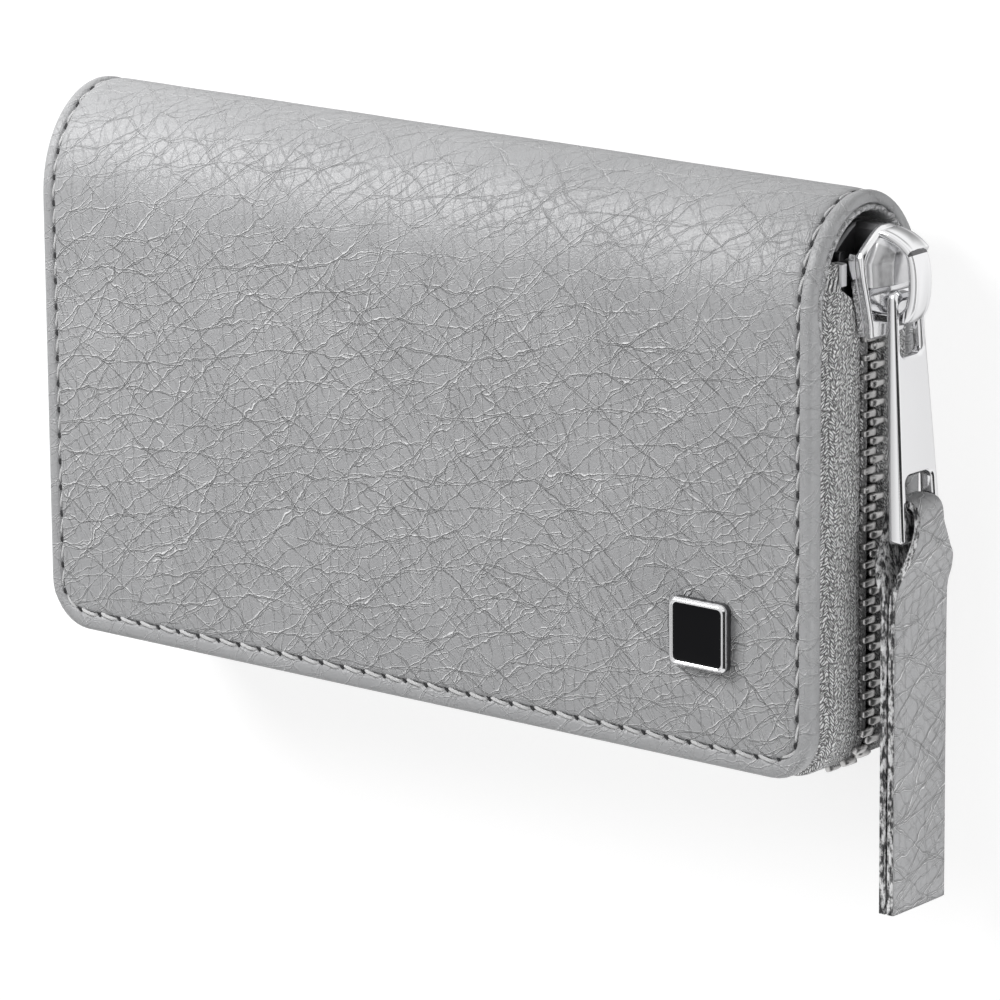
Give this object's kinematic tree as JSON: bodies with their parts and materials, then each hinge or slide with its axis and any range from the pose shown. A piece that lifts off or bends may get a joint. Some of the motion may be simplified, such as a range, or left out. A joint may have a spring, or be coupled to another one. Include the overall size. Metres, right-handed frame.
{
  "type": "manicure set case",
  "caption": "Zip-around leather case with a rounded folding spine, metal zip and pull tab, a leather strap, a square badge and manicure tools inside.",
  "frame": {"origin": "centre of the back cover's flat outer face, which the case lies on; the centre is that of the whole closed case, spine included", "axes": "+X along the case towards the end with the zip slider, +Y towards the rounded spine, +Z through the thickness to the front cover with the badge"},
  "size_m": [0.1422, 0.0919, 0.0251],
  "materials": {
    "leather": "grained, satin",
    "strap_leather": "grained, satin",
    "board": "matte",
    "lining": "matte",
    "tape": "woven, matte",
    "nickel": "semi-bright",
    "polished": "polished",
    "enamel": "gloss enamel",
    "steel": "satin"
  },
  "bodies": {
    "base": {"back_cover": "leather", "back_board": "board", "back_lining": "lining", "back_zip_tape": "tape", "back_zip_teeth": "nickel", "back_tape_clip": "polished", "zip_bottom_stop": "nickel", "scissors_lower": "steel", "scissors_screw": "steel", "scissors_loop": "lining"},
    "spine": {"spine_leather": "leather", "spine_lining": "lining"},
    "lid": {"front_cover": "leather", "front_board": "board", "front_lining": "lining", "front_zip_tape": "tape", "front_zip_teeth": "nickel", "front_tape_clip": "polished", "badge_frame": "polished", "badge_enamel": "enamel", "tool_band_left": "lining", "tool_band_right": "lining", "nail_file": "steel", "tweezers": "steel", "cuticle_pusher": "steel"},
    "slider": {"slider_body": "polished"},
    "tab": {"pull_tab": "polished"},
    "strap": {"pull_strap": "strap_leather"},
    "scissors_moving": {"scissors_upper": "steel"}
  },
  "joints": [
    {"name": "spine_hinge", "type": "hinge", "parent": "base", "child": "spine", "pos_m": [0, 0.03466, 0.00284], "axis": [-1, 0, 0], "range_deg": [0, 90], "deforming": ["spine_leather", "spine_lining"]},
    {"name": "lid_hinge", "type": "hinge", "parent": "spine", "child": "lid", "pos_m": [0, 0.03466, 0.02116], "axis": [-1, 0, 0], "range_deg": [0, 90]},
    {"name": "zip_slide", "type": "slide", "parent": "base", "child": "slider", "axis": [0, -1, 0], "range_m": [0, 0.048], "deforming": ["back_zip_teeth", "front_zip_teeth"]},
    {"name": "tab_hinge", "type": "hinge", "parent": "slider", "child": "tab", "pos_m": [0.0706, 0.0252, 0.012], "axis": [0, 0, 1], "range_deg": [-1, 140]},
    {"name": "strap_hinge", "type": "hinge", "parent": "tab", "child": "strap", "pos_m": [0.0724, -0.00424, 0.012], "axis": [0, 0, 1], "range_deg": [-6, 15]},
    {"name": "scissors_pivot", "type": "hinge", "parent": "base", "child": "scissors_moving", "pos_m": [-0.014, -0.012, 0.0055], "axis": [0, 0, 1], "range_deg": [0, 15]}
  ],
  "couplings": [
    {"joint": "lid_hinge", "follows": "spine_hinge", "ratio": 1}
  ]
}
